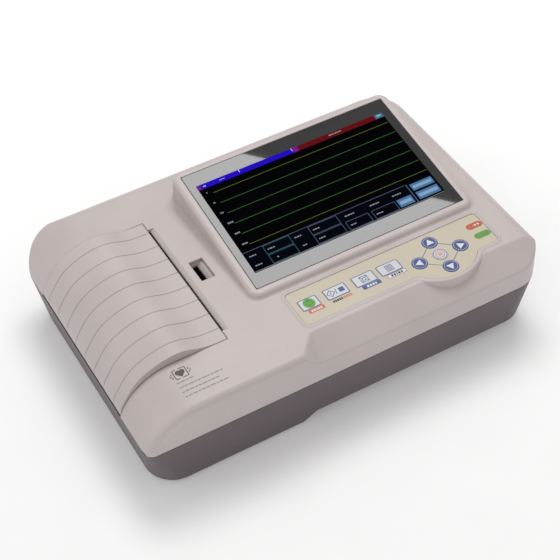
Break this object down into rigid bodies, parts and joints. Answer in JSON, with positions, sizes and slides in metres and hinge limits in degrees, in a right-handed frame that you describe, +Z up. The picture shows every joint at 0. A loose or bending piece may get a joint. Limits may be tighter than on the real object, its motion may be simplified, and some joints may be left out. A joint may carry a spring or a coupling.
{
  "type": "electrocardiograph",
  "caption": "Portable ECG machine with a tilted screen, a keypad, a lidded chart paper printer and sockets at its back and side.",
  "frame": {"origin": "middle of the footprint, on the surface the rubber feet stand on", "axes": "+X to the right along the longest side, +Y to the back, +Z up"},
  "size_m": [0.31, 0.208, 0.0959],
  "materials": {
    "casing_light": "fine texture",
    "casing_dark": "fine texture",
    "foot_rubber": "matt",
    "screen_glass": "polished",
    "display_black": "satin",
    "sheet_steel": "zinc plated",
    "screw_steel": "plated",
    "keypad_film": "satin film",
    "circuit_board": "solder mask",
    "lamp_lens": "translucent",
    "battery_wrap": "shrink sleeve",
    "speaker_black": "matt",
    "panel_dark": "fine texture",
    "connector_black": "satin",
    "lead_socket": "satin",
    "terminal_brass": "turned",
    "shaft_steel": "ground",
    "platen_rubber": "ground",
    "gear_plastic": "moulded",
    "motor_steel": "pressed",
    "bay_plastic": "moulded",
    "print_head": "glazed",
    "heat_sink": "extruded",
    "spring_steel": "drawn wire",
    "key_green": "domed film",
    "key_pale": "domed film",
    "key_blue": "domed film"
  },
  "bodies": {
    "case": {"top_shell": "casing_light", "bottom_shell": "casing_dark", "rubber_feet": "foot_rubber", "screen_glass": "screen_glass", "display_module": "display_black", "display_bracket": "sheet_steel", "bracket_screws": "screw_steel", "keypad_film": "keypad_film", "keypad_board": "circuit_board", "keypad_screws": "screw_steel", "dome_switches": "sheet_steel", "lamp_lenses": "lamp_lens", "case_screws": "screw_steel", "battery_pack": "battery_wrap", "battery_cover": "casing_dark", "battery_screws": "screw_steel", "main_board": "circuit_board", "lead_board": "circuit_board", "lead_board_shield": "sheet_steel", "board_screws": "screw_steel", "power_module": "circuit_board", "speaker": "speaker_black", "rear_panel": "panel_dark", "mains_inlet": "connector_black", "switch_frame": "connector_black", "ground_terminal": "terminal_brass", "side_panel": "panel_dark", "lead_socket": "lead_socket", "socket_posts": "screw_steel", "usb_socket": "sheet_steel", "hinge_rod": "shaft_steel", "idler_pin": "shaft_steel", "paper_motor": "motor_steel", "paper_bay": "bay_plastic", "printer_chassis": "sheet_steel", "print_head": "print_head", "head_heat_sink": "heat_sink", "latch_screws": "screw_steel", "latch_spring": "spring_steel"},
    "cover": {"printer_cover": "casing_light", "platen_bushings": "gear_plastic"},
    "platen": {"platen_shaft": "shaft_steel", "platen_rubber": "platen_rubber", "platen_gear": "gear_plastic"},
    "idler": {"idler_gear": "gear_plastic"},
    "pinion": {"motor_pinion": "terminal_brass", "motor_shaft": "shaft_steel"},
    "spindle": {"paper_spindle": "bay_plastic"},
    "latch": {"latch_yoke": "casing_light"},
    "rocker": {"power_rocker": "connector_black"},
    "power_key": {"power_key": "key_green"},
    "start_key": {"start_key": "key_pale"},
    "mode_key": {"mode_key": "key_pale"},
    "print_key": {"print_key": "key_pale"},
    "up_key": {"up_key": "key_blue"},
    "down_key": {"down_key": "key_blue"},
    "left_key": {"left_key": "key_blue"},
    "right_key": {"right_key": "key_blue"},
    "enter_key": {"enter_key": "key_pale"}
  },
  "joints": [
    {"name": "cover_hinge", "type": "hinge", "parent": "case", "child": "cover", "pos_m": [-0.1516, 0, 0.0489], "axis": [0, -1, 0], "range_deg": [0, 95]},
    {"name": "platen_turn", "type": "hinge", "parent": "cover", "child": "platen", "pos_m": [-0.0835, 0, 0.0625], "axis": [0, 1, 0], "continuous": true},
    {"name": "idler_turn", "type": "hinge", "parent": "case", "child": "idler", "pos_m": [-0.08033, 0.061, 0.04661], "axis": [0, 1, 0], "continuous": true},
    {"name": "pinion_turn", "type": "hinge", "parent": "case", "child": "pinion", "pos_m": [-0.0671, 0.061, 0.04044], "axis": [0, 1, 0], "continuous": true},
    {"name": "spindle_turn", "type": "hinge", "parent": "case", "child": "spindle", "pos_m": [-0.1135, 0, 0.032], "axis": [0, 1, 0], "continuous": true},
    {"name": "latch_slide", "type": "slide", "parent": "case", "child": "latch", "axis": [1, 0, 0], "range_m": [0, 0.0035], "stiffness_N_per_m": 400, "springref_m": -0.002, "deforming": ["latch_spring"]},
    {"name": "rocker_tilt", "type": "hinge", "parent": "case", "child": "rocker", "pos_m": [0.086, 0.0895, 0.029], "axis": [1, 0, 0], "range_deg": [0, 16]},
    {"name": "power_key_press", "type": "slide", "parent": "case", "child": "power_key", "axis": [0, 0, -1], "range_m": [0, 0.0004], "stiffness_N_per_m": 1500, "springref_m": -0.0003},
    {"name": "start_key_press", "type": "slide", "parent": "case", "child": "start_key", "axis": [0, 0, -1], "range_m": [0, 0.0004], "stiffness_N_per_m": 1500, "springref_m": -0.0003},
    {"name": "mode_key_press", "type": "slide", "parent": "case", "child": "mode_key", "axis": [0, 0, -1], "range_m": [0, 0.0004], "stiffness_N_per_m": 1500, "springref_m": -0.0003},
    {"name": "print_key_press", "type": "slide", "parent": "case", "child": "print_key", "axis": [0, 0, -1], "range_m": [0, 0.0004], "stiffness_N_per_m": 1500, "springref_m": -0.0003},
    {"name": "up_key_press", "type": "slide", "parent": "case", "child": "up_key", "axis": [0, 0, -1], "range_m": [0, 0.0004], "stiffness_N_per_m": 1500, "springref_m": -0.0003},
    {"name": "down_key_press", "type": "slide", "parent": "case", "child": "down_key", "axis": [0, 0, -1], "range_m": [0, 0.0004], "stiffness_N_per_m": 1500, "springref_m": -0.0003},
    {"name": "left_key_press", "type": "slide", "parent": "case", "child": "left_key", "axis": [0, 0, -1], "range_m": [0, 0.0004], "stiffness_N_per_m": 1500, "springref_m": -0.0003},
    {"name": "right_key_press", "type": "slide", "parent": "case", "child": "right_key", "axis": [0, 0, -1], "range_m": [0, 0.0004], "stiffness_N_per_m": 1500, "springref_m": -0.0003},
    {"name": "enter_key_press", "type": "slide", "parent": "case", "child": "enter_key", "axis": [0, 0, -1], "range_m": [0, 0.0004], "stiffness_N_per_m": 1500, "springref_m": -0.0003}
  ],
  "couplings": [
    {"joint": "idler_turn", "follows": "platen_turn", "ratio": -0.66667},
    {"joint": "pinion_turn", "follows": "platen_turn", "ratio": 1.3333}
  ]
}
